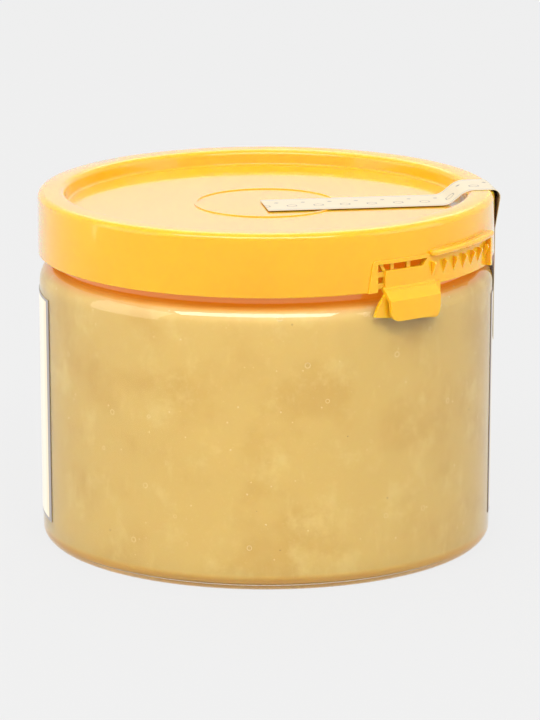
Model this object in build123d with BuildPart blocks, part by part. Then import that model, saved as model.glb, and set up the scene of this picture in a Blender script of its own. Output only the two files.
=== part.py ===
"""Clear plastic tub of creamed honey with a press-on tamper-evident lid, a wrap label and a seal strip.

Millimetres. The origin is the centre of the base, Z is up, and -Y is the front. The tub, its honey and
its lid are turned about Z. Angles round the lid are read from the front, growing towards +X.
"""
from build123d import *

from math import asin, cos, degrees, radians, sin, sqrt
import os

# ---- lid: one moulding, with its tear tab and finger grip ----
overall_height = 92.2
lid_radius = 59.5
lid_wall = 1.3
skirt_height = 16.2
rim_width = 7.1
rim_thickness = 1.4
rim_outer_round = 1.8
rim_inner_round = 1.6
recess_depth = 4.0
recess_draft = 0.4
recess_foot_round = 0.7
hem_round = 0.3
panel_thickness = 1.4
plug_lead_in = 0.8
ring_radius = 18.4
ring_width = 0.8
ring_height = 0.25

# ---- tub: body, shoulder, neck and mouth ----
body_radius = 59.2
body_draft = 0.3
body_height = 68.5
tub_wall = 1.2
base_thickness = 1.5
heel_round = 3.0
foot_ring_width = 5.5
foot_ring_depth = 0.8
shoulder_round = 5.5
mouth_wall = 1.4
plug_clearance = 0.2
bead_depth = 1.6
bead_height = 2.2
bead_drop = 3.6
snap_clearance = 0.3
snap_overlap = 0.4

# ---- honey ----
honey_level = 78.0
fill_clearance = 0.05

# ---- wrap label round the back of the body ----
label_thickness = 0.15
label_clearance = 0.03
label_height = 59.2
label_below_shoulder = 2.1
label_left = -71.0
label_right = 80.5

# ---- seal strip from the middle of the lid, over its rim and down the side ----
strip_width = 14.0
strip_thickness = 0.15
strip_clearance = 0.05
strip_turn = 9.0
strip_offset = 5.4
strip_start = -1.3
strip_lift_run = 4.6
strip_lift_before_rim = 1.7
strip_lift_rounds = (5.0, 6.0)
strip_fold_round = 1.9
strip_leg_straight = 0.3
strip_settle_drop = 8.0
strip_on_label = 14.0

# ---- tear tab, on a slightly raised land of the skirt ----
land_height = 0.35
land_top_above_hem = 8.1
land_start = 25.3
land_slant = 1.3
land_round = 1.2
tab_middle = 36.5
window_left = 9.0
window_right = 6.4
window_top_above_hem = 7.1
window_slant = 1.5
plate_left = 6.85
plate_top_above_hem = 5.35
plate_bottom_above_hem = 0.7
bridge_wall = 0.8
side_bridges = ((0.8, 2.1), (3.7, 5.0))
top_bridges = ((-4.9, -3.95), (0.1, 1.25))
web_top = 8.7
web_bottom = 6.7
web_width = 0.9
flap_left = 7.6
flap_right = 9.0
flap_drop = 7.3
flap_reach = 2.9
flap_wall = 0.9
flap_round = 2.4
flap_slant = 1.0
wing_clearance = 0.45
wing_wall = 0.8
wing_left_drop = 6.1
wing_right_drop = 8.7
wing_left = 10.3
wing_right = 10.6
wing_neck = 6.9

# ---- finger grip beside the tab ----
ledge_start = 43.4
ledge_end = 71.5
ledge_reach = 2.1
ledge_top_above_hem = 8.9
ledge_height = 1.5
ledge_round = 0.6
ledge_nose = 1.6
end_wall_angle = 1.2
end_wall_reach = 1.7
rib_count = 7
rib_first = 44.4
rib_pitch = 4.05
rib_width = 0.55
rib_reach = 1.3
rib_bottom_above_hem = 2.1
rib_top_above_hem = 5.8

# ---- levels and radii that follow from these ----
hem = overall_height - skirt_height
skirt_inner = lid_radius - lid_wall
recess_radius = lid_radius - rim_width
panel_top = overall_height - recess_depth
panel_bottom = panel_top - panel_thickness
channel_top = overall_height - rim_thickness
plug_radius = recess_radius + lid_wall
land_radius = lid_radius + land_height

mouth_inner = plug_radius + plug_clearance
neck_radius = mouth_inner + mouth_wall
bead_radius = neck_radius + bead_depth
bead_top = channel_top - bead_drop
bead_bottom = bead_top - bead_height
snap_radius = bead_radius - snap_overlap
snap_top = bead_bottom - snap_clearance
base_radius = body_radius - body_draft
shoulder_centre = body_radius - shoulder_round
shoulder_inner_round = shoulder_round - tub_wall

label_top = body_height - label_below_shoulder
label_bottom = label_top - label_height


def radial_plane(angle):
    """The upright plane through Z at an angle from the front; its local axes are radius and height."""
    turn = radians(angle)
    return Plane(origin=(0, 0, 0), x_dir=(sin(turn), -cos(turn), 0), z_dir=(-cos(turn), -sin(turn), 0))


def facing_plane(angle):
    """The plane that faces outwards at an angle; its local axes run round the lid and up."""
    turn = radians(angle)
    return Plane(origin=(0, 0, 0), x_dir=(cos(turn), sin(turn), 0), z_dir=(sin(turn), -cos(turn), 0))


def body_at(height):
    """Outer radius of the drafted body at a height."""
    return base_radius + body_draft * height / body_height


def round_corners(sketch, radius, *corners):
    """Rounds the corners of a section that lie nearest to the given places."""
    for corner in corners:
        fillet(sketch.vertices().sort_by_distance(corner)[0], radius)


# The height at which the shoulder runs into the neck, outside and inside.
neck_foot = body_height + sqrt(shoulder_round**2 - (neck_radius - shoulder_centre) ** 2)
neck_foot_inner = body_height + sqrt(shoulder_inner_round**2 - (mouth_inner - shoulder_centre) ** 2)

foot_ring_outer = base_radius - heel_round
foot_ring_inner = foot_ring_outer - foot_ring_width

with BuildPart() as jar:
    with BuildSketch(Plane.XZ) as jar_section:
        with BuildLine():
            outer = Polyline(
                (0, foot_ring_depth),
                (foot_ring_inner - foot_ring_depth, foot_ring_depth),
                (foot_ring_inner, 0),
                (base_radius, 0),
                (body_radius, body_height),
            )
            shoulder = ThreePointArc(
                outer @ 1,
                (
                    shoulder_centre + shoulder_round * cos(radians(35)),
                    body_height + shoulder_round * sin(radians(35)),
                ),
                (neck_radius, neck_foot),
            )
            neck = Polyline(
                shoulder @ 1,
                (neck_radius, bead_bottom),
                (bead_radius, bead_bottom + 0.4),
                (bead_radius, bead_top - 1.1),
                (neck_radius, bead_top),
                (neck_radius, channel_top),
                (mouth_inner, channel_top),
                (mouth_inner, neck_foot_inner),
            )
            inner_shoulder = ThreePointArc(
                neck @ 1,
                (
                    shoulder_centre + shoulder_inner_round * cos(radians(35)),
                    body_height + shoulder_inner_round * sin(radians(35)),
                ),
                (body_radius - tub_wall, body_height),
            )
            Polyline(
                inner_shoulder @ 1,
                (base_radius - tub_wall, base_thickness + foot_ring_depth),
                (0, base_thickness + foot_ring_depth),
                outer @ 0,
            )
        make_face()
        round_corners(jar_section, heel_round, (base_radius, 0))
        round_corners(
            jar_section, heel_round - tub_wall, (base_radius - tub_wall, base_thickness + foot_ring_depth)
        )
        round_corners(jar_section, 0.4, (neck_radius, channel_top), (mouth_inner, channel_top))
    revolve(axis=Axis.Z)

jar.part.label = "jar"

# The honey fills the tub's inside, through the shoulder and up the neck to its level.
floor_height = base_thickness + foot_ring_depth + fill_clearance
honey_round = shoulder_inner_round - fill_clearance
honey_neck = mouth_inner - fill_clearance
honey_neck_foot = body_height + sqrt(honey_round**2 - (honey_neck - shoulder_centre) ** 2)

with BuildPart() as honey:
    with BuildSketch(Plane.XZ) as honey_section:
        with BuildLine():
            wall = Polyline(
                (0, honey_level),
                (0, floor_height),
                (base_radius - tub_wall - fill_clearance, floor_height),
                (shoulder_centre + honey_round, body_height),
            )
            edge = ThreePointArc(
                wall @ 1,
                (
                    shoulder_centre + honey_round * cos(radians(35)),
                    body_height + honey_round * sin(radians(35)),
                ),
                (honey_neck, honey_neck_foot),
            )
            Polyline(edge @ 1, (honey_neck, honey_level), wall @ 0)
        make_face()
        round_corners(
            honey_section, heel_round - tub_wall, (base_radius - tub_wall - fill_clearance, floor_height)
        )
    revolve(axis=Axis.Z)

honey.part.label = "honey"

# The wrap label goes round the back, from its right edge to its left edge, and leaves the front clear.
label_arc = 360 - (label_right - label_left)
label_inner = body_at(label_bottom) + label_clearance
label_draft = body_at(label_top) - body_at(label_bottom)

with BuildPart() as label:
    with BuildSketch(radial_plane(label_right)) as label_section:
        with BuildLine():
            Polyline(
                (label_inner, label_bottom),
                (label_inner + label_thickness, label_bottom),
                (label_inner + label_draft + label_thickness, label_top),
                (label_inner + label_draft, label_top),
                close=True,
            )
        make_face()
    revolve(axis=Axis.Z, revolution_arc=label_arc)

label.part.label = "label"


def turned_block(start, end, inner, outer, bottom, top):
    """A block turned round Z between two angles, two radii and two heights."""
    with BuildSketch(radial_plane(start)) as section:
        with Locations(((inner + outer) / 2, (bottom + top) / 2)):
            Rectangle(outer - inner, top - bottom)
    revolve(section.sketch, axis=Axis.Z, revolution_arc=end - start)


def angle_at(across):
    """The angle of a place on the skirt that lies a distance across the tab's middle."""
    return tab_middle + degrees(asin(across / lid_radius))


tab_plane = facing_plane(tab_middle)
reach = lid_radius + flap_reach + 5
land_top = hem + land_top_above_hem
window_top = hem + window_top_above_hem
plate_top = hem + plate_top_above_hem
plate_bottom = hem + plate_bottom_above_hem
skirt_middle = lid_radius - lid_wall / 2

# The raised land on the skirt has a slanted left edge and a rounded corner beside the tab.
with BuildPart() as land:
    turned_block(land_start - 6, ledge_start + 4, skirt_middle, land_radius, hem, land_top)
    with BuildSketch(tab_plane) as land_sketch:
        land_left = land_radius * sin(radians(land_start - tab_middle))
        with BuildLine():
            Polyline(
                (land_left, hem),
                (land_left + land_slant, land_top),
                (land_radius, land_top),
                (land_radius, hem),
                close=True,
            )
        make_face()
        round_corners(land_sketch, land_round, (land_left + land_slant, land_top))
    extrude(amount=reach, mode=Mode.INTERSECT)
    turned_block(ledge_start, ledge_end, skirt_middle, land_radius, hem, land_top)

# The pull flap slopes out from the fold at the plate's foot and hangs down.
flap_outer = lid_radius + flap_reach
flap_knee = hem - flap_reach + 0.9

with BuildPart() as flap:
    with BuildSketch(radial_plane(angle_at(-flap_left - 2))):
        with BuildLine():
            Polyline(
                (land_radius, plate_bottom + 0.5),
                (flap_outer, flap_knee),
                (flap_outer, hem - flap_drop),
                (flap_outer - flap_wall, hem - flap_drop),
                (flap_outer - flap_wall, flap_knee - 0.4 * flap_wall),
                (land_radius - flap_wall, plate_bottom - 0.4 * flap_wall),
                (land_radius - flap_wall, plate_bottom + 0.5),
                close=True,
            )
        make_face()
    revolve(axis=Axis.Z, revolution_arc=angle_at(flap_right + 2) - angle_at(-flap_left - 2))
    with BuildSketch(tab_plane) as flap_sketch:
        flap_bottom = hem - flap_drop
        with BuildLine():
            Polyline(
                (-flap_left, hem + 2),
                (-flap_left + flap_slant, flap_bottom),
                (flap_right, flap_bottom),
                (flap_right, hem + 2),
                close=True,
            )
        make_face()
        round_corners(
            flap_sketch, flap_round, (-flap_left + flap_slant, flap_bottom), (flap_right, flap_bottom)
        )
    extrude(amount=reach, mode=Mode.INTERSECT)

# The wing behind the flap keeps close to the tub; its left edge flares and its bottom edge slopes.
wing_inner = body_radius + wing_clearance

with BuildPart() as wing:
    turned_block(
        angle_at(-wing_left - 2),
        angle_at(wing_right + 2),
        wing_inner,
        wing_inner + wing_wall,
        hem - wing_right_drop,
        plate_bottom,
    )
    with BuildSketch(tab_plane) as wing_sketch:
        with BuildLine():
            flare = Spline(
                (-wing_neck, plate_bottom),
                (-wing_neck - 1.7, hem - 2.3),
                (-wing_left, hem - wing_left_drop),
                tangents=((-0.2, -1), (-0.3, -1)),
            )
            Polyline(
                flare @ 1,
                (wing_right, hem - wing_right_drop),
                (wing_right, plate_bottom),
                flare @ 0,
            )
        make_face()
        round_corners(wing_sketch, 1.8, (wing_right, hem - wing_right_drop))
    extrude(amount=reach, mode=Mode.INTERSECT)

# A slanted web crosses the window's corner.
with BuildPart() as web:
    turned_block(
        angle_at(-window_left),
        angle_at(0),
        skirt_inner + 0.1,
        skirt_inner + 0.1 + bridge_wall,
        plate_top - 0.3,
        window_top + 0.3,
    )
    with BuildSketch(tab_plane):
        with BuildLine():
            Polyline(
                (-web_top, window_top + 1),
                (-web_top + web_width, window_top + 1),
                (-web_bottom + web_width, plate_top - 1),
                (-web_bottom, plate_top - 1),
                close=True,
            )
        make_face()
    extrude(amount=reach, mode=Mode.INTERSECT)

# The finger ledge has a rounded nose and a rounded lip.
ledge_top = hem + ledge_top_above_hem
ledge_outer = lid_radius + ledge_reach

with BuildPart() as ledge:
    turned_block(ledge_start, ledge_end, skirt_middle, ledge_outer, ledge_top - ledge_height, ledge_top)
    nose = radial_plane(ledge_start).from_local_coords((ledge_outer, ledge_top - ledge_height / 2))
    fillet(ledge.edges().filter_by(Axis.Z).sort_by_distance(nose)[0], ledge_nose)
    lips = [
        edge
        for edge in ledge.edges().filter_by(GeomType.CIRCLE)
        if min(abs(edge.radius - ledge_outer), abs(edge.radius - ledge_nose)) < 0.01
    ]
    fillet(lips, ledge_round)

with BuildPart() as lid:
    with BuildSketch(Plane.XZ) as lid_section:
        with BuildLine():
            Polyline(
                (lid_radius, hem),
                (lid_radius, overall_height),
                (recess_radius, overall_height),
                (recess_radius - recess_draft, panel_top),
                (0, panel_top),
                (0, panel_bottom),
                (plug_radius - plug_lead_in, panel_bottom),
                (plug_radius, panel_bottom + plug_lead_in),
                (plug_radius, channel_top),
                (skirt_inner, channel_top),
                (skirt_inner, snap_top),
                (snap_radius, snap_top - 0.4),
                (snap_radius, snap_top - 1.0),
                (skirt_inner, snap_top - 2.0),
                (skirt_inner, hem),
                close=True,
            )
        make_face()
        round_corners(lid_section, rim_outer_round, (lid_radius, overall_height))
        round_corners(lid_section, rim_inner_round, (recess_radius, overall_height))
        round_corners(lid_section, recess_foot_round, (recess_radius - recess_draft, panel_top))
        round_corners(lid_section, hem_round, (lid_radius, hem), (skirt_inner, hem))
    revolve(axis=Axis.Z)

    # A fine ring stands on the panel round its middle.
    with BuildSketch(Plane.XY.offset(panel_top - ring_height)):
        Circle(ring_radius + ring_width / 2)
        Circle(ring_radius - ring_width / 2, mode=Mode.SUBTRACT)
    extrude(amount=2 * ring_height)

    add(land.part)

    # The window opens along the left side and the top of the tab's plate.
    with BuildSketch(tab_plane):
        with BuildLine():
            Polyline(
                (-window_left, hem - 1),
                (-window_left, window_top),
                (window_right, window_top),
                (window_right - window_slant, plate_top),
                (-plate_left, plate_top),
                (-plate_left, hem - 1),
                close=True,
            )
        make_face()
    extrude(amount=reach, mode=Mode.SUBTRACT)

    # Thin bridges hold the plate until the tab is torn.
    for bottom, top in side_bridges:
        turned_block(
            angle_at(-window_left - 0.3),
            angle_at(-plate_left + 0.3),
            skirt_inner + 0.1,
            skirt_inner + 0.1 + bridge_wall,
            hem + bottom,
            hem + top,
        )
    for left, right in top_bridges:
        turned_block(
            angle_at(left),
            angle_at(right),
            skirt_inner + 0.1,
            skirt_inner + 0.1 + bridge_wall,
            plate_top - 0.3,
            window_top + 0.3,
        )
    add(flap.part)
    add(wing.part)

    add(web.part)
    add(ledge.part)

    # An end wall closes the grip, and a row of small fins stands beneath the ledge.
    turned_block(
        ledge_end - end_wall_angle, ledge_end, skirt_middle, lid_radius + end_wall_reach, hem, ledge_top - 0.6
    )
    for rib in range(rib_count):
        with BuildSketch(radial_plane(rib_first + rib * rib_pitch)):
            with BuildLine():
                Polyline(
                    (skirt_middle, hem + rib_bottom_above_hem),
                    (land_radius, hem + rib_bottom_above_hem),
                    (land_radius + rib_reach, hem + rib_top_above_hem - 0.5),
                    (land_radius + rib_reach - 0.3, hem + rib_top_above_hem),
                    (skirt_middle, hem + rib_top_above_hem + 0.3),
                    close=True,
                )
            make_face()
        extrude(amount=rib_width / 2, both=True)

lid.part.label = "lid"

# The seal strip lies on the panel, climbs the rim, folds over its edge and runs down on to the label.
turn = radians(strip_turn)
strip_normal = Vector(-sin(turn), cos(turn), 0)
strip_along = Vector(cos(turn), sin(turn), 0)
strip_left = -strip_offset - strip_width / 2
strip_right = -strip_offset + strip_width / 2
strip_lie = panel_top + ring_height + strip_clearance
strip_ride = overall_height + strip_clearance
strip_hang = lid_radius + strip_clearance
strip_rise = recess_radius - strip_lift_before_rim
leg_top = overall_height - strip_fold_round - strip_leg_straight
strip_end = label_top - strip_on_label


def leg_section(height, inner, straight):
    """A cut across the hanging leg: round like the lid, or straight where the strip folds over."""

    def depth(across, radius):
        hollow = radius - sqrt(radius**2 - across**2)
        return radius - hollow * (1 - straight)

    middle = (strip_left + strip_right) / 2
    outer = inner + strip_thickness
    plane = Plane(origin=(0, 0, height), x_dir=strip_along, z_dir=(0, 0, 1))
    with BuildSketch(plane) as section:
        with BuildLine():
            near = [(depth(v, inner), v) for v in (strip_left, middle, strip_right)]
            far = [(depth(v, outer), v) for v in (strip_right, middle, strip_left)]
            if straight == 1:
                Polyline(near[0], near[2], far[0], far[2], close=True)
            else:
                ThreePointArc(*near)
                Line(near[2], far[0])
                ThreePointArc(*far)
                Line(far[2], near[0])
        make_face()
    return section.sketch


on_label = label_inner + label_draft + label_thickness + strip_clearance

with BuildPart() as seal_strip:
    with BuildSketch(
        Plane(origin=-strip_offset * strip_normal, x_dir=strip_along, z_dir=-strip_normal)
    ):
        with BuildLine():
            route = FilletPolyline(
                (strip_start, strip_lie),
                (strip_rise - strip_lift_run, strip_lie),
                (strip_rise, strip_ride),
                (strip_hang, strip_ride),
                (strip_hang, leg_top),
                radius=[*strip_lift_rounds, strip_fold_round],
            )
            offset(route, amount=strip_thickness, side=Side.LEFT, closed=True)
        make_face()
    extrude(amount=strip_width / 2, both=True)
    loft(
        [
            leg_section(leg_top, strip_hang, 1),
            leg_section(leg_top - strip_settle_drop, strip_hang, 0),
            leg_section(hem, strip_hang, 0),
            leg_section(label_top, on_label, 0),
            leg_section(strip_end, on_label, 0),
        ],
        ruled=True,
    )

seal_strip.part.label = "seal_strip"

os.makedirs("parts", exist_ok=True)
for piece in (jar, honey, lid, label, seal_strip):
    export_step(piece.part, f"parts/{piece.part.label}.step")
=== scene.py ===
"""Clear tub of creamed honey, with its lid, wrap label and seal strip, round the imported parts.

Sizes are millimetres unless a property gives its own unit. Z is up, -Y is the front, and angles
round the tub are read from the front, growing towards +X.
"""

import math

import bmesh
import bpy
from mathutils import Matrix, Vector


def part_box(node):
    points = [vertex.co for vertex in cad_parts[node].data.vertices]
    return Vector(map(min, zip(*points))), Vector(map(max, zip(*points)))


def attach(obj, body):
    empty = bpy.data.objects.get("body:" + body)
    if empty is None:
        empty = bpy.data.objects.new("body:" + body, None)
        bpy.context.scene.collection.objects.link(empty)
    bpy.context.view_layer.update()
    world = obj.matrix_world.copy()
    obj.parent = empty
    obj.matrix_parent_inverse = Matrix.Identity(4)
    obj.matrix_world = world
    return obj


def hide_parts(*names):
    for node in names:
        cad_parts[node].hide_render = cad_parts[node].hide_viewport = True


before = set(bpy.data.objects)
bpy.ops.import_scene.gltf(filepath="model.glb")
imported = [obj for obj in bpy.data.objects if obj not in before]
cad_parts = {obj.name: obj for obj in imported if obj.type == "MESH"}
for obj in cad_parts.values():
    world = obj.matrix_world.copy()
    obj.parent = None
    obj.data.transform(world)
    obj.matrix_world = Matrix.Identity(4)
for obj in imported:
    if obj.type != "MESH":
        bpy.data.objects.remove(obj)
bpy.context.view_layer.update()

bl_info = {
    "name": "Honey tub",
    "version": (1, 0, 0),
    "blender": (4, 5, 0),
    "location": "View3D > Sidebar > Honey tub",
    "description": "Builds the clear tub, its honey, lid, label and seal strip, and a plain stage",
    "category": "Object",
}

MM = 0.001

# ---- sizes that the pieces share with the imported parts, in millimetres ----
FOOT_RECESS = 0.8
HEEL_ROUND = 3.0
BODY_DRAFT = 0.3
FLOOR_HEIGHT = 2.3
FLOOR_ROUND = 1.8
NECK_RADIUS = 55.3
MOUTH_RADIUS = 53.9
MOUTH_HEIGHT = 90.8
BEAD_DEPTH = 1.6
LID_HEM = 76.0
LABEL_RADIUS = 58.9615
STRIP_HANG = 59.55
STRIP_ON_LABEL = 59.42
FOLD_DROP = 2.2
SETTLE_DROP = 8.0
SHEET_THICKNESS = 0.15
LABEL_LOW, LABEL_HIGH = (corner.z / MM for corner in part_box("label"))
LID_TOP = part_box("lid")[1].z / MM

# A UV unit on the label and the strip stands for this many millimetres.
UV_SIZE = 100.0

# ---- how finely the turned pieces and sheets are divided ----
TURN_STEPS = 192
FILL_STEPS = 96
LABEL_STEPS = (150, 6)
STRIP_STEPS = 16
FOLD_STEPS = 8


def srgb(red, green, blue):
    """A screen colour from 0 to 255 as a linear one."""

    def linear(level):
        share = level / 255
        return share / 12.92 if share <= 0.04045 else ((share + 0.055) / 1.055) ** 2.4

    return (linear(red), linear(green), linear(blue))


def length_property(name, description, default):
    """A length in metres, from one in millimetres."""
    return bpy.props.FloatProperty(
        name=name, description=description, default=default * MM, min=0, unit="LENGTH", precision=5
    )


def colour_property(name, description, default):
    return bpy.props.FloatVectorProperty(
        name=name, description=description, default=default, size=3, min=0, max=1, subtype="COLOR"
    )


def share_property(name, description, default):
    return bpy.props.FloatProperty(
        name=name, description=description, default=default, min=0, max=1, subtype="FACTOR"
    )


class TubSettings(bpy.types.PropertyGroup):
    """The clear tub."""

    body_radius: length_property("Body radius", "Outer radius of the body below its shoulder", 59.2)
    body_height: length_property("Body height", "Height at which the shoulder starts", 68.5)
    wall: length_property("Wall", "Thickness of the clear wall", 1.2)
    shoulder_round: length_property("Shoulder round", "Radius of the round shoulder", 5.5)
    roughness: share_property("Roughness", "Roughness of the clear plastic", 0.02)
    colour: colour_property("Colour", "Tint of the clear plastic", (0.985, 0.985, 0.975))


class HoneySettings(bpy.types.PropertyGroup):
    """The creamed honey and what shows in it."""

    level: length_property("Level", "Height of the honey's top, in the neck", 78.0)
    into_wall: length_property("Into the wall", "How far the honey reaches into the wall", 0.3)
    colour: colour_property("Colour", "Creamed honey", (0.592, 0.406, 0.098))
    patch: colour_property("Patches", "Darker ochre patches", (0.548, 0.352, 0.070))
    cloud: colour_property("Clouds", "Paler, finely crystalled clouds", (0.650, 0.490, 0.155))
    bubble: colour_property("Bubbles", "Ring bubbles and pale grains", (0.700, 0.540, 0.240))
    speck: colour_property("Specks", "Dark specks", (0.200, 0.110, 0.030))
    # Painted shade: the foot colour is a darker ochre standing in for the heel's refraction.
    painted_foot_shade: colour_property("Foot", "Deeper ochre at the foot", (0.800, 0.430, 0.040))
    # Painted light: the neck colour stands in for shade under the lid and the lid's orange light on
    # the honey.
    neck: colour_property("Neck", "Honey in the neck, which the lid tints", (0.560, 0.230, 0.020))
    # Painted light: the neck glow is emission standing in for light that comes through the lid.
    painted_lid_glow: colour_property("Neck glow", "Light through the lid", (0.420, 0.105, 0.002))


class LidSettings(bpy.types.PropertyGroup):
    """The lid's plastic."""

    colour: colour_property("Colour", "Yellow-orange plastic", (0.780, 0.412, 0.014))
    roughness: share_property("Roughness", "Roughness of the plastic", 0.16)
    coat_roughness: share_property("Gloss roughness", "Roughness of the polished skin", 0.05)
    glow: length_property("Glow", "How far light spreads within the plastic", 2.0)


class LabelSettings(bpy.types.PropertyGroup):
    """The wrap label round the back."""

    left: bpy.props.FloatProperty(
        name="Left edge",
        description="Angle of the left edge from the front",
        default=math.radians(-71.0),
        subtype="ANGLE",
    )
    right: bpy.props.FloatProperty(
        name="Right edge",
        description="Angle of the right edge from the front",
        default=math.radians(80.5),
        subtype="ANGLE",
    )
    # The border width takes in painted shadow at the film's edge as well as the printed line.
    border: length_property("Border", "Width of the band along the upright edges", 2.2)
    film: colour_property("Film", "Cream film", srgb(250, 240, 214))
    # Painted shadow: along the upright edges the band colour is the printed border widened by
    # painted shadow and refraction at the film's edge; along the ends it is only print.
    printed_band_and_edge_shadow: colour_property("Band", "Band along the edges", srgb(136, 126, 122))
    field: colour_property("Field", "Honey-yellow field", srgb(240, 178, 62))
    cell: colour_property("Cells", "Comb cells on the field", srgb(252, 222, 140))


class StripSettings(bpy.types.PropertyGroup):
    """The seal strip."""

    width: length_property("Width", "Width of the strip", 14.0)
    paper: colour_property("Paper", "Cream paper", (0.600, 0.500, 0.320))
    line: colour_property("Lines", "Border lines", srgb(128, 142, 152))
    mark: colour_property("Marks", "Small printed shapes", srgb(110, 96, 84))


class StageSettings(bpy.types.PropertyGroup):
    """Floor, light and camera."""

    surround: share_property("Surround", "Brightness of the pale surround", 0.863)
    softbox_power: bpy.props.FloatProperty(
        name="Softbox",
        description="Power of the long softbox above the front",
        default=16.0,
        min=0,
        unit="POWER",
    )
    fill_power: bpy.props.FloatProperty(
        name="Fill lights",
        description="Power of each soft light beside and behind the tub",
        default=6.0,
        min=0,
        unit="POWER",
    )
    softbox_rise: bpy.props.FloatProperty(
        name="Softbox rise",
        description="Height of the softbox above the horizon",
        default=math.radians(50),
        subtype="ANGLE",
    )
    softbox_turn: bpy.props.FloatProperty(
        name="Softbox turn",
        description="Angle of the softbox from the front, towards the left",
        default=math.radians(6),
        subtype="ANGLE",
    )
    camera_pitch: bpy.props.FloatProperty(
        name="Camera pitch",
        description="How far the camera looks down",
        default=math.radians(13.55),
        subtype="ANGLE",
    )
    lens: bpy.props.FloatProperty(
        name="Lens", description="Focal length in millimetres", default=215.0, min=1, unit="CAMERA"
    )


class Term:
    """A socket that takes part in arithmetic: an expression on it adds Math nodes."""

    def __init__(self, sheet, socket):
        self.sheet, self.socket = sheet, socket

    def math(self, operation, *values):
        return self.sheet.node(
            "ShaderNodeMath", {"operation": operation}, dict(enumerate(values))
        )

    def __add__(self, other):
        return self.math("ADD", self, other)

    __radd__ = __add__

    def __sub__(self, other):
        return self.math("SUBTRACT", self, other)

    def __rsub__(self, other):
        return self.math("SUBTRACT", other, self)

    def __mul__(self, other):
        return self.math("MULTIPLY", self, other)

    __rmul__ = __mul__

    def __truediv__(self, other):
        return self.math("DIVIDE", self, other)

    def __lt__(self, other):
        return self.math("LESS_THAN", self, other)

    def __gt__(self, other):
        return self.math("GREATER_THAN", self, other)

    def __abs__(self):
        return self.math("ABSOLUTE", self)

    def at_most(self, other):
        return self.math("MINIMUM", self, other)

    def at_least(self, other):
        return self.math("MAXIMUM", self, other)

    def repeat(self, pitch):
        """The distance from the nearest whole number of pitches."""
        return self.math("PINGPONG", self, pitch / 2)


class Sheet:
    """A node tree in the making."""

    def __init__(self, tree):
        self.tree = tree

    def node(self, kind, settings=None, inputs=None, out=0):
        """Adds a node, with its settings first and then the values or links of its sockets."""
        made = self.tree.nodes.new(kind)
        for name, value in (settings or {}).items():
            setattr(made, name, value)
        for key, value in (inputs or {}).items():
            if isinstance(value, Term):
                self.tree.links.new(value.socket, made.inputs[key])
            else:
                made.inputs[key].default_value = value
        return Term(self, made.outputs[out]) if made.outputs else None

    def blend(self, factor, first, second):
        """One colour where the factor is 0 and another where it is 1."""
        colours = [c if isinstance(c, Term) else (*c, 1.0) for c in (first, second)]
        return self.node(
            "ShaderNodeMix", {"data_type": "RGBA"}, {0: factor, 6: colours[0], 7: colours[1]}, out=2
        )

    def ramp(self, value, low, high):
        """0 below low and 1 above high, with a smooth way between."""
        settings = {"interpolation_type": "SMOOTHSTEP"}
        inputs = {"Value": value, "From Min": low, "From Max": high}
        return self.node("ShaderNodeMapRange", settings, inputs)

    def axes(self, vector):
        """The three parts of a vector."""
        split = self.node("ShaderNodeSeparateXYZ", inputs={0: vector})
        return [Term(self, output) for output in split.socket.node.outputs]


def new_material(name):
    """An empty material and the sheet of its node tree."""
    material = bpy.data.materials.new(name)
    material.use_nodes = True
    material.node_tree.nodes.clear()
    return material, Sheet(material.node_tree)


def close_material(sheet, shader):
    """Joins the finished shader to the material's output."""
    sheet.node("ShaderNodeOutputMaterial", inputs={"Surface": shader})


def clear_plastic(settings):
    """Clear moulded plastic that lets the lamps through to what stands behind it."""
    material, sheet = new_material("clear_plastic")
    shader = sheet.node(
        "ShaderNodeBsdfPrincipled",
        inputs={
            "Base Color": (*settings.colour, 1.0),
            "Roughness": settings.roughness,
            "IOR": 1.55,
            "Transmission Weight": 1.0,
        },
    )
    shadow = sheet.node("ShaderNodeLightPath", out="Is Shadow Ray")
    through = sheet.node("ShaderNodeBsdfTransparent", inputs={"Color": (0.97, 0.97, 0.96, 1.0)})
    mixed = sheet.node("ShaderNodeMixShader", inputs={0: shadow, 1: shader, 2: through})
    close_material(sheet, mixed)
    return material


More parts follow.
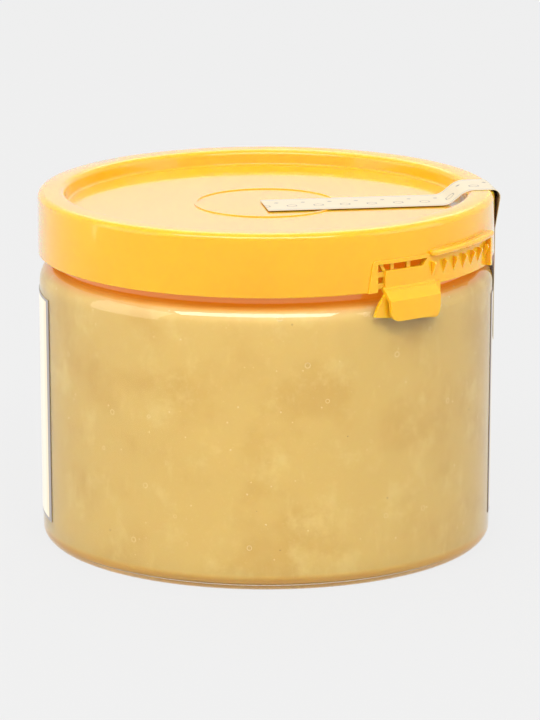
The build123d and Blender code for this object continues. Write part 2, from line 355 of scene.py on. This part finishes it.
def creamed_honey(settings):
    """Opaque creamed honey: broad ochre patches, pale clouds and a fine grain."""
    material, sheet = new_material("creamed_honey")
    place = sheet.node("ShaderNodeTexCoord", out="Object")
    stretched = sheet.node(
        "ShaderNodeMapping",
        inputs={"Vector": place, "Location": (0.31, 0.17, 0.05), "Scale": (1.0, 1.0, 0.45)},
    )

    def cloudy(vector, scale, detail, roughness):
        inputs = {"Vector": vector, "Scale": scale, "Detail": detail, "Roughness": roughness}
        return sheet.node("ShaderNodeTexNoise", inputs=inputs)

    patches = cloudy(place, 62.0, 3.0, 0.55)
    clouds = cloudy(place, 95.0, 5.0, 0.62)
    streaks = cloudy(stretched, 240.0, 4.0, 0.6)
    grain = cloudy(place, 1500.0, 2.0, 0.6)
    colour = sheet.blend(sheet.ramp(patches, 0.46, 0.68), settings.colour, settings.patch)
    colour = sheet.blend(sheet.ramp(clouds, 0.5, 0.72) * 0.75, colour, settings.cloud)
    colour = sheet.blend(sheet.ramp(streaks, 0.56, 0.78) * 0.5, colour, settings.cloud)
    colour = sheet.blend(sheet.ramp(grain, 0.6, 0.8) * 0.3, colour, settings.bubble)
    height = sheet.axes(place)[2] * (1 / MM)
    neck_starts, neck_full, foot_ends, foot_fade = 70.4, 73.6, 4.6, 2.4
    # Painted light: from here up into the neck the honey takes a painted deep orange for the shade
    # under the lid and the lid's orange light, and a painted glow.
    painted_lid_light_mask = sheet.ramp(height, neck_starts, neck_full)
    colour = sheet.blend(painted_lid_light_mask, colour, settings.neck)
    # Painted shade: darker ochre at the foot, standing in for the heel's refraction.
    colour = sheet.blend(sheet.ramp(foot_ends - height, 0.0, foot_fade), colour, settings.painted_foot_shade)
    shader = sheet.node(
        "ShaderNodeBsdfPrincipled",
        inputs={
            "Base Color": colour,
            # Painted light: emission in the neck stands in for light through the lid.
            "Emission Color": sheet.blend(painted_lid_light_mask, (0.0, 0.0, 0.0), settings.painted_lid_glow),
            "Emission Strength": 1.0,
            "Roughness": 0.45,
            "IOR": 1.5,
            "Subsurface Weight": 0.35,
            "Subsurface Radius": (1.0, 0.6, 0.2),
            "Subsurface Scale": 2.0 * MM,
        },
    )
    close_material(sheet, shader)
    return material


def plain(name, colour, roughness):
    """One flat colour with its gloss."""
    material, sheet = new_material(name)
    shader = sheet.node(
        "ShaderNodeBsdfPrincipled",
        inputs={"Base Color": (*colour, 1.0), "Roughness": roughness},
    )
    close_material(sheet, shader)
    return material


def lid_plastic(settings):
    """Glossy moulded plastic that light enters a little way."""
    material, sheet = new_material("lid_plastic")
    shader = sheet.node(
        "ShaderNodeBsdfPrincipled",
        inputs={
            "Base Color": (*settings.colour, 1.0),
            "Roughness": settings.roughness,
            "IOR": 1.33,
            "Subsurface Weight": 0.8,
            "Subsurface Radius": (1.0, 0.35, 0.05),
            "Subsurface Scale": settings.glow,
            "Coat Weight": 1.0,
            "Coat Roughness": settings.coat_roughness,
            "Coat IOR": 1.3,
        },
    )
    close_material(sheet, shader)
    return material


def hexagon(across, up):
    """How far a place is from the middle of an upright hexagon, measured to its flats."""
    across, up = abs(across), abs(up)
    return across.at_least(across * 0.5 + up * 0.866)


def label_print(settings, length, height):
    """Cream film with a band along its upright edges, printed border widened by painted shadow, and
    a plain field of comb cells.
    """
    material, sheet = new_material("label_film")
    flat = sheet.node("ShaderNodeUVMap", {"uv_map": "flat"})
    along, up, _ = sheet.axes(flat)
    along, up = along * UV_SIZE, up * UV_SIZE
    edge, end_line, side_margin, end_margin = settings.border / MM, 0.7, 22.0, 9.0
    from_side = along.at_most(length - along)
    from_end = up.at_most(height - up)
    field = (abs(along - length / 2) < length / 2 - side_margin) * (
        abs(up - height / 2) < height / 2 - end_margin
    )
    pitch, row_pitch, cell_reach = 10.0, 8.66, 3.7
    lifted = up + pitch / 2
    row_number = lifted.math("FLOOR", lifted / row_pitch)
    half = row_number.math("MODULO", row_number, 2.0) * (pitch / 2)
    row = (lifted - row_number * row_pitch) - row_pitch / 2
    comb = (hexagon((along + half).repeat(pitch), row) < cell_reach) * field
    inner_line = (from_side > edge + 1.6) * (from_side < edge + 2.1) * (from_end > 3.0)
    warm, line_tint = srgb(252, 226, 182), srgb(150, 190, 180)
    colour = sheet.blend(sheet.ramp(from_side, edge, edge + 5.0), warm, settings.film)
    colour = sheet.blend(field, colour, settings.field)
    colour = sheet.blend(comb, colour, settings.cell)
    colour = sheet.blend(inner_line * 0.35, colour, line_tint)
    # Painted shadow: the upright band is printed border plus painted edge shadow; the end lines are
    # print.
    colour = sheet.blend(from_side < edge, colour, settings.printed_band_and_edge_shadow)
    colour = sheet.blend(from_end < end_line, colour, settings.printed_band_and_edge_shadow)
    shader = sheet.node(
        "ShaderNodeBsdfPrincipled",
        inputs={
            "Base Color": colour,
            "Roughness": 0.3,
            "Coat Weight": 0.5,
            "Coat Roughness": 0.08,
        },
    )
    close_material(sheet, shader)
    return material


def strip_print(settings):
    """Cream paper with a line inside each long edge and a row of small comb cells."""
    material, sheet = new_material("strip_paper")
    flat = sheet.node("ShaderNodeUVMap", {"uv_map": "flat"})
    along, across, _ = sheet.axes(flat)
    along, across = along * UV_SIZE, across * UV_SIZE
    pitch, cell_side, dot_side = 7.0, -1.6, 2.4
    half = settings.width / MM / 2
    from_edge = half - abs(across)
    line = (from_edge > 0.8) * (from_edge < 1.1)
    cell = hexagon(along.repeat(pitch), across - cell_side)
    outline = (cell < 1.35) * (cell > 1.0)
    dot = hexagon((along + pitch / 2).repeat(pitch), across - dot_side) < 0.55
    colour = sheet.blend(line, settings.paper, settings.line)
    colour = sheet.blend(outline.at_least(dot) * 0.85, colour, settings.mark)
    shader = sheet.node(
        "ShaderNodeBsdfPrincipled",
        inputs={
            "Base Color": colour,
            "Roughness": 0.35,
            "Coat Weight": 0.4,
            "Coat Roughness": 0.1,
        },
    )
    close_material(sheet, shader)
    return material


def round_point(radius, angle, height):
    """A place at a radius, an angle in degrees from the front and a height."""
    turn = math.radians(angle)
    return Vector((radius * math.sin(turn), -radius * math.cos(turn), height)) * MM


def arc(centre, radius, start, end, steps):
    """Points of an arc in a section, between two angles in degrees."""
    return [
        (
            centre[0] + radius * math.cos(math.radians(start + (end - start) * i / steps)),
            centre[1] + radius * math.sin(math.radians(start + (end - start) * i / steps)),
        )
        for i in range(steps + 1)
    ]


def mesh_object(name, built, sharp=35.0):
    """Turns a finished bmesh into an object at the origin, smooth but for its sharp edges."""
    bmesh.ops.recalc_face_normals(built, faces=built.faces)
    mesh = bpy.data.meshes.new(name)
    built.to_mesh(mesh)
    built.free()
    for polygon in mesh.polygons:
        polygon.use_smooth = True
    mesh.set_sharp_from_angle(angle=math.radians(sharp))
    made = bpy.data.objects.new(name, mesh)
    bpy.context.scene.collection.objects.link(made)
    return made


def turned(name, section, steps=TURN_STEPS):
    """A closed turned piece, from a section that starts and ends on the axis."""
    built = bmesh.new()
    rings = [
        [built.verts.new(round_point(radius, 360 * i / steps, height)) for i in range(steps)]
        if radius > 0
        else [built.verts.new((0, 0, height * MM))]
        for radius, height in section
    ]
    for low, high in zip(rings, rings[1:]):
        for i in range(steps):
            j = (i + 1) % steps
            corners = [low[k % len(low)] for k in (i, j)] + [high[k % len(high)] for k in (j, i)]
            built.faces.new(list(dict.fromkeys(corners)))
    return mesh_object(name, built)


def thin_sheet(name, inner, outer, flat):
    """A thin closed sheet between two grids of points, with its flat place as a UV map."""
    built = bmesh.new()
    uv = built.loops.layers.uv.new("flat")
    place = {}
    grids = []
    for grid in (inner, outer):
        grids.append([[built.verts.new(point) for point in row] for row in grid])
        for made_row, flat_row in zip(grids[-1], flat):
            place.update(zip(made_row, flat_row))
    rows, columns = len(inner), len(inner[0])
    for grid in grids:
        for r in range(rows - 1):
            for c in range(columns - 1):
                built.faces.new((grid[r][c], grid[r][c + 1], grid[r + 1][c + 1], grid[r + 1][c]))
    rim = [(0, c) for c in range(columns - 1)] + [(r, columns - 1) for r in range(rows - 1)]
    rim += [(rows - 1, c) for c in range(columns - 1, 0, -1)]
    rim += [(r, 0) for r in range(rows - 1, 0, -1)]
    for (r, c), (s, d) in zip(rim, rim[1:] + rim[:1]):
        built.faces.new((grids[0][r][c], grids[0][s][d], grids[1][s][d], grids[1][r][c]))
    for face in built.faces:
        for loop in face.loops:
            loop[uv].uv = place[loop.vert]
    return mesh_object(name, built)


def place_piece(piece, material, node=None):
    """Gives a piece its material, hides any imported part it stands in for, and rides it on the
    tub.
    """
    piece.data.materials.clear()
    piece.data.materials.append(material)
    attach(piece, "root")
    if node:
        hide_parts(node)


class HONEYTUB_OT_tub(bpy.types.Operator):
    """Turn the clear tub: foot ring, body, round shoulder, neck and snap bead"""

    bl_idname = "honeytub.tub"
    bl_label = "Clear tub"

    def execute(self, context):
        settings = context.scene.honey_tub
        body, high = settings.body_radius / MM, settings.body_height / MM
        wall, bend = settings.wall / MM, settings.shoulder_round / MM
        base, neck, mouth, top = body - BODY_DRAFT, NECK_RADIUS, MOUTH_RADIUS, MOUTH_HEIGHT
        centre = body - bend
        inner_bend = bend - wall
        neck_turn = math.degrees(math.acos((neck - centre) / bend))
        mouth_turn = math.degrees(math.acos((mouth - centre) / inner_bend))
        # The recessed base and the foot ring, then the heel and the drafted body.
        section = [(0, FOOT_RECESS), (25.0, FOOT_RECESS), (49.4, FOOT_RECESS)]
        section += [(49.7, 0.74), (50.3, 0.06), (50.6, 0.0)]
        section += arc((base - HEEL_ROUND, HEEL_ROUND), HEEL_ROUND, -90, 0, 8)
        section += [(base + BODY_DRAFT * z / high, z) for z in range(8, 68, 6)]
        # The round shoulder, then the neck with its snap bead, and the mouth.
        section += arc((centre, high), bend, 0, neck_turn, 14)
        section += [(neck, 84.9), (neck + 1.4, 85.05), (neck + BEAD_DEPTH, 85.3)]
        section += [(neck + BEAD_DEPTH, 86.1), (neck + 0.2, 87.0), (neck, 87.3)]
        section += [(neck, top - 0.4), (neck - 0.4, top), (mouth + 0.4, top), (mouth, top - 0.4)]
        # The inside, from the mouth down to the middle of the floor.
        section += arc((centre, high), inner_bend, mouth_turn, 0, 12)
        section += [(base - wall + BODY_DRAFT * z / high, z) for z in range(62, 7, -6)]
        corner = (base - wall - FLOOR_ROUND, FLOOR_HEIGHT + FLOOR_ROUND)
        section += arc(corner, FLOOR_ROUND, 0, -90, 6)
        section += [(25.0, FLOOR_HEIGHT), (0, FLOOR_HEIGHT)]
        place_piece(turned("clear_tub", section), clear_plastic(settings), "jar")
        return {"FINISHED"}


def honey_section(tub, honey):
    """The honey's section from the middle of its floor to the middle of its top."""
    body, high, wall = (v / MM for v in (tub.body_radius, tub.body_height, tub.wall))
    bend, level, into = (v / MM for v in (tub.shoulder_round, honey.level, honey.into_wall))
    base, centre, floor = body - BODY_DRAFT, body - bend, FLOOR_HEIGHT - into
    reach, neck = bend - wall + into, MOUTH_RADIUS + into
    neck_turn = math.degrees(math.acos((neck - centre) / reach))
    side = base - wall + into
    section = [(0, floor), (30.0, floor)]
    corner = (base - wall - FLOOR_ROUND, FLOOR_HEIGHT + FLOOR_ROUND)
    section += arc(corner, FLOOR_ROUND + into, -90, 0, 6)
    section += [(side + BODY_DRAFT * z / high, z) for z in range(8, 68, 6)]
    section += arc((centre, high), reach, 0, neck_turn, 10)
    return section + [(neck, level), (30.0, level), (0, level)]


class HONEYTUB_OT_honey(bpy.types.Operator):
    """Fill the tub with creamed honey up to its level"""

    bl_idname = "honeytub.honey"
    bl_label = "Honey"

    def execute(self, context):
        settings = context.scene.honey_fill
        piece = turned("honey_fill", honey_section(context.scene.honey_tub, settings))
        place_piece(piece, creamed_honey(settings), "honey")
        return {"FINISHED"}


def scatter_tree(name, ring):
    """A tree that scatters ring bubbles or flat grains over a surface."""
    tree = bpy.data.node_groups.new(name, "GeometryNodeTree")
    sheet = Sheet(tree)
    sockets = {"Surface": "Geometry", "Density": "Float", "Smallest": "Float", "Largest": "Float"}
    sockets.update({"Flatness": "Float", "Seed": "Int", "Finish": "Material"})
    for label, kind in sockets.items():
        tree.interface.new_socket(label, in_out="INPUT", socket_type="NodeSocket" + kind)
    tree.interface.new_socket("Pieces", in_out="OUTPUT", socket_type="NodeSocketGeometry")
    entry = sheet.node("NodeGroupInput").socket.node
    given = {label: Term(sheet, entry.outputs[label]) for label in sockets}
    points = sheet.node(
        "GeometryNodeDistributePointsOnFaces",
        {"distribute_method": "RANDOM"},
        {"Mesh": given["Surface"], "Density": given["Density"], "Seed": given["Seed"]},
    )
    rotation = Term(sheet, points.socket.node.outputs["Rotation"])
    if ring:
        path, wire = (
            sheet.node(
                "GeometryNodeCurvePrimitiveCircle", inputs={"Resolution": count, "Radius": radius}
            )
            for count, radius in ((12, 0.42), (5, 0.09))
        )
        shape = sheet.node(
            "GeometryNodeCurveToMesh", inputs={"Curve": path, "Profile Curve": wire}
        )
    else:
        shape = sheet.node("GeometryNodeMeshIcoSphere", inputs={"Radius": 0.5, "Subdivisions": 2})
    size = sheet.node(
        "FunctionNodeRandomValue",
        {"data_type": "FLOAT"},
        {2: given["Smallest"], 3: given["Largest"], 8: given["Seed"]},
        out=1,
    )
    thin = size * given["Flatness"]
    scale = sheet.node("ShaderNodeCombineXYZ", inputs={0: size, 1: size, 2: thin})
    placed = sheet.node(
        "GeometryNodeInstanceOnPoints",
        inputs={"Points": points, "Instance": shape, "Rotation": rotation, "Scale": scale},
    )
    real = sheet.node("GeometryNodeRealizeInstances", inputs={0: placed})
    finished = sheet.node(
        "GeometryNodeSetMaterial", inputs={"Geometry": real, "Material": given["Finish"]}
    )
    sheet.node("NodeGroupOutput", inputs={0: finished})
    return tree


def run_tree(piece, tree, values):
    """Runs a tree on a piece and keeps its result as a plain mesh."""
    modifier = piece.modifiers.new(tree.name, "NODES")
    modifier.node_group = tree
    for item in tree.interface.items_tree:
        if item.in_out == "INPUT" and item.name in values:
            modifier[item.identifier] = values[item.name]
    bpy.context.view_layer.update()
    depsgraph = bpy.context.evaluated_depsgraph_get()
    mesh = bpy.data.meshes.new_from_object(piece.evaluated_get(depsgraph))
    piece.modifiers.remove(modifier)
    piece.data = mesh
    for polygon in mesh.polygons:
        polygon.use_smooth = True
    if not mesh.polygons:
        raise RuntimeError(f"{piece.name} came out empty")
    return piece


class HONEYTUB_OT_bubbles(bpy.types.Operator):
    """Scatter ring bubbles, pale grains and dark specks under the clear wall"""

    bl_idname = "honeytub.bubbles"
    bl_label = "Bubbles and grains"

    # name, whether a ring, pieces on a square metre, smallest, largest, flatness, seed, finish
    kinds = (
        ("honey_bubbles", True, 2600.0, 0.7, 1.7, 0.5, 4, "bubble"),
        ("honey_grains", False, 9000.0, 0.16, 0.6, 0.35, 9, "bubble"),
        ("honey_specks", False, 900.0, 0.25, 0.45, 0.4, 15, "speck"),
    )

    def execute(self, context):
        settings = context.scene.honey_fill
        # Only the honey's side shows through the wall, so nothing is scattered on its floor or top.
        side = honey_section(context.scene.honey_tub, settings)[8:-5]
        sunk = 0.02
        finishes = {
            "bubble": plain("pale_bubble", settings.bubble, 0.4),
            "speck": plain("dark_speck", settings.speck, 0.5),
        }
        for name, ring, density, smallest, largest, flatness, seed, finish in self.kinds:
            built = bmesh.new()
            rows = [
                [
                    built.verts.new(round_point(radius - sunk, 360 * i / FILL_STEPS, height))
                    for i in range(FILL_STEPS)
                ]
                for radius, height in side
            ]
            for low, high in zip(rows, rows[1:]):
                for i in range(FILL_STEPS):
                    j = (i + 1) % FILL_STEPS
                    built.faces.new((low[i], low[j], high[j], high[i]))
            piece = mesh_object(name, built)
            values = {
                "Density": density,
                "Smallest": smallest * MM,
                "Largest": largest * MM,
                "Flatness": flatness,
                "Seed": seed,
                "Finish": finishes[finish],
            }
            run_tree(piece, scatter_tree("scatter_" + name, ring), values)
            place_piece(piece, finishes[finish])
        return {"FINISHED"}


class HONEYTUB_OT_lid(bpy.types.Operator):
    """Give the lid smooth faces and its glossy plastic"""

    bl_idname = "honeytub.lid"
    bl_label = "Lid"

    def execute(self, context):
        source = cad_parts["lid"].data
        built = bmesh.new()
        corners = [built.verts.new(vertex.co) for vertex in source.vertices]
        for polygon in source.polygons:
            built.faces.new([corners[i] for i in polygon.vertices])
        bmesh.ops.remove_doubles(built, verts=built.verts, dist=1e-6)
        piece = mesh_object("lid_moulding", built, sharp=32.0)
        place_piece(piece, lid_plastic(context.scene.honey_lid), "lid")
        return {"FINISHED"}


class HONEYTUB_OT_label(bpy.types.Operator):
    """Wrap the label round the back, from edge to edge"""

    bl_idname = "honeytub.label"
    bl_label = "Wrap label"

    def execute(self, context):
        settings = context.scene.honey_label
        start = math.degrees(settings.right)
        sweep = 360 - start + math.degrees(settings.left)
        columns, rows = LABEL_STEPS
        body_height = context.scene.honey_tub.body_height / MM
        height = LABEL_HIGH - LABEL_LOW
        grids = []
        for extra in (0, SHEET_THICKNESS):
            grids.append(
                [
                    [
                        round_point(
                            LABEL_RADIUS + extra + BODY_DRAFT * height / body_height * r / rows,
                            start + sweep * c / columns,
                            LABEL_LOW + height * r / rows,
                        )
                        for c in range(columns + 1)
                    ]
                    for r in range(rows + 1)
                ]
            )
        length = math.radians(sweep) * LABEL_RADIUS
        flat = [
            [
                (length * c / columns / UV_SIZE, height * r / rows / UV_SIZE)
                for c in range(columns + 1)
            ]
            for r in range(rows + 1)
        ]
        piece = thin_sheet("wrap_label", grids[0], grids[1], flat)
        place_piece(piece, label_print(settings, length, height), "label")
        return {"FINISHED"}


def strip_rows():
    """The strip's inner line over the lid: distance out, height, and the outward direction."""
    lie, ride, hang, leg_top = LID_TOP - 3.7, LID_TOP + 0.05, STRIP_HANG, LID_TOP - FOLD_DROP
    corners = [(-1.3, lie), (46.1, lie), (50.7, ride), (hang, ride), (hang, leg_top)]
    rounds = [5.0, 6.0, 1.9]
    points = [corners[0]]
    for before, corner, after, radius in zip(corners, corners[1:], corners[2:], rounds):
        here = Vector(corner)
        back = (Vector(before) - here).normalized()
        ahead = (Vector(after) - here).normalized()
        half = back.angle(ahead) / 2
        middle = here + (back + ahead).normalized() * radius / math.sin(half)
        start = here + back * radius / math.tan(half) - middle
        end = here + ahead * radius / math.tan(half) - middle
        sweep = start.angle_signed(end)
        for i in range(FOLD_STEPS + 1):
            turn = -sweep * i / FOLD_STEPS
            points.append(
                (
                    middle.x + start.x * math.cos(turn) - start.y * math.sin(turn),
                    middle.y + start.x * math.sin(turn) + start.y * math.cos(turn),
                )
            )
    points.append(corners[-1])
    rows = []
    for i, (out, height) in enumerate(points):
        before, after = points[max(i - 1, 0)], points[min(i + 1, len(points) - 1)]
        way = (Vector(after) - Vector(before)).normalized()
        rows.append((out, height, (-way.y, way.x)))
    return rows


class HONEYTUB_OT_strip(bpy.types.Operator):
    """Lay the seal strip over the rim, fold it and run it down on to the label"""

    bl_idname = "honeytub.strip"
    bl_label = "Seal strip"

    def execute(self, context):
        settings = context.scene.honey_strip
        turn = math.radians(9.0)
        along = Vector((math.cos(turn), math.sin(turn), 0))
        across = Vector((-math.sin(turn), math.cos(turn), 0))
        middle, half, columns = -5.4, settings.width / MM / 2, STRIP_STEPS
        offsets = [middle - half + 2 * half * c / columns for c in range(columns + 1)]
        inner, outer, flat, run, last = [], [], [], 0.0, None
        # Below the fold it settles from straight to round, and then runs down on to the label.
        leg = [
            (LID_TOP - FOLD_DROP - SETTLE_DROP * i / FOLD_STEPS, STRIP_HANG, 1 - i / FOLD_STEPS)
            for i in range(1, FOLD_STEPS + 1)
        ]
        leg += [(LID_HEM, STRIP_HANG, 0.0), (LABEL_HIGH + 4.0, 59.47, 0.0)]
        leg += [(LABEL_HIGH - drop, STRIP_ON_LABEL, 0.0) for drop in (0.0, 7.0, 14.0)]

        def row_points(u_of, height):
            return [(along * u_of(v) + across * v + Vector((0, 0, height))) * MM for v in offsets]

        for out, height, normal in strip_rows():
            aside, above = (part * SHEET_THICKNESS for part in normal)
            inner.append(row_points(lambda v: out, height))
            outer.append(row_points(lambda v: out + aside, height + above))
            spot = Vector((out, height))
            run += (spot - last).length if last else 0.0
            last = spot
            flat.append([(run / UV_SIZE, (v - middle) / UV_SIZE) for v in offsets])
        for height, radius, straight in leg:
            for grid, extra in ((inner, 0.0), (outer, SHEET_THICKNESS)):
                size = radius + extra
                grid.append(
                    row_points(
                        lambda v: size - (size - math.sqrt(size**2 - v**2)) * (1 - straight), height
                    )
                )
            run += last.y - height
            last = Vector((radius, height))
            flat.append([(run / UV_SIZE, (v - middle) / UV_SIZE) for v in offsets])
        piece = thin_sheet("seal_band", inner, outer, flat)
        place_piece(piece, strip_print(settings), "seal_strip")
        return {"FINISHED"}


class HONEYTUB_OT_stage(bpy.types.Operator):
    """Set the pale floor, the even surround, the softbox and the camera"""

    bl_idname = "honeytub.stage"
    bl_label = "Stage"

    def execute(self, context):
        scene = context.scene
        settings = scene.honey_stage
        scene.view_settings.view_transform = "Standard"
        scene.view_settings.look = "None"
        world = bpy.data.worlds.new("pale_surround")
        world.use_nodes = True
        world.node_tree.nodes.clear()
        sheet = Sheet(world.node_tree)
        pale = (settings.surround,) * 3
        surround = sheet.node("ShaderNodeBackground", inputs={"Color": (*pale, 1.0)})
        sheet.node("ShaderNodeOutputWorld", inputs={"Surface": surround})
        scene.world = world

        built = bmesh.new()
        bmesh.ops.create_grid(built, x_segments=1, y_segments=1, size=6.0)
        bmesh.ops.translate(built, verts=built.verts, vec=(0, 0, -0.0001))
        mesh = bpy.data.meshes.new("floor")
        built.to_mesh(mesh)
        built.free()
        floor = bpy.data.objects.new("floor", mesh)
        scene.collection.objects.link(floor)
        material, sheet = new_material("pale_floor")
        lit = sheet.node("ShaderNodeEmission", inputs={"Color": (*pale, 1.0), "Strength": 1.0})
        matt = sheet.node("ShaderNodeBsdfDiffuse", inputs={"Color": (0.6, 0.6, 0.6, 1.0)})
        close_material(sheet, sheet.node("ShaderNodeMixShader", inputs={0: 0.06, 1: lit, 2: matt}))
        mesh.materials.append(material)

        rise, aside = settings.softbox_rise, settings.softbox_turn
        level = math.cos(rise)
        away = Vector((-math.sin(aside) * level, -math.cos(aside) * level, math.sin(rise)))
        lamp = bpy.data.lights.new("softbox", "AREA")
        lamp.shape, lamp.size, lamp.size_y = "RECTANGLE", 1.7, 0.42
        lamp.energy = settings.softbox_power
        softbox = bpy.data.objects.new("softbox", lamp)
        softbox.location = Vector((0, 0, 0.05)) + away * 1.3
        softbox.rotation_euler = away.to_track_quat("Z", "Y").to_euler()
        scene.collection.objects.link(softbox)

        for name, side, ahead, rise in (
            ("left_fill", -0.955, -0.25, 0.296),
            ("right_fill", 0.955, -0.25, 0.296),
            ("back_fill", 0.0, 0.64, 0.77),
        ):
            fill = bpy.data.lights.new(name, "AREA")
            fill.shape, fill.size, fill.energy = "SQUARE", 1.2, settings.fill_power
            lamp = bpy.data.objects.new(name, fill)
            away = Vector((side, ahead, rise)).normalized()
            lamp.location = Vector((0, 0, 0.05)) + away * 1.5
            lamp.rotation_euler = away.to_track_quat("Z", "Y").to_euler()
            scene.collection.objects.link(lamp)

        data = bpy.data.cameras.new("camera")
        data.lens, data.sensor_width = settings.lens, 36.0
        data.clip_start, data.clip_end = 0.05, 50.0
        camera = bpy.data.objects.new("camera", data)
        camera.location = (0.00102, -1.0985, 0.3108)
        camera.rotation_euler = (math.radians(90) - settings.camera_pitch, 0, 0)
        scene.collection.objects.link(camera)
        scene.camera = camera
        return {"FINISHED"}


class HONEYTUB_PT_panel(bpy.types.Panel):
    """Lists the pieces in the order in which they are made"""

    bl_idname = "HONEYTUB_PT_panel"
    bl_label = "Honey tub"
    bl_space_type = "VIEW_3D"
    bl_region_type = "UI"
    bl_category = "Honey tub"

    def draw(self, context):
        for operator in OPERATORS:
            self.layout.operator(operator.bl_idname)
        for name in SETTINGS:
            box = self.layout.box()
            group = getattr(context.scene, name)
            for field in group.__annotations__:
                box.prop(group, field)


OPERATORS = (
    HONEYTUB_OT_stage,
    HONEYTUB_OT_tub,
    HONEYTUB_OT_honey,
    HONEYTUB_OT_bubbles,
    HONEYTUB_OT_lid,
    HONEYTUB_OT_label,
    HONEYTUB_OT_strip,
)
SETTINGS = {
    "honey_tub": TubSettings,
    "honey_fill": HoneySettings,
    "honey_lid": LidSettings,
    "honey_label": LabelSettings,
    "honey_strip": StripSettings,
    "honey_stage": StageSettings,
}


def register():
    for name, group in SETTINGS.items():
        bpy.utils.register_class(group)
        setattr(bpy.types.Scene, name, bpy.props.PointerProperty(type=group))
    for made in (*OPERATORS, HONEYTUB_PT_panel):
        bpy.utils.register_class(made)


def unregister():
    for made in (HONEYTUB_PT_panel, *reversed(OPERATORS)):
        bpy.utils.unregister_class(made)
    for name, group in reversed(list(SETTINGS.items())):
        delattr(bpy.types.Scene, name)
        bpy.utils.unregister_class(group)


def main():
    register()
    for operator in OPERATORS:
        family, action = operator.bl_idname.split(".")
        getattr(getattr(bpy.ops, family), action)()


if __name__ == "__main__":
    main()
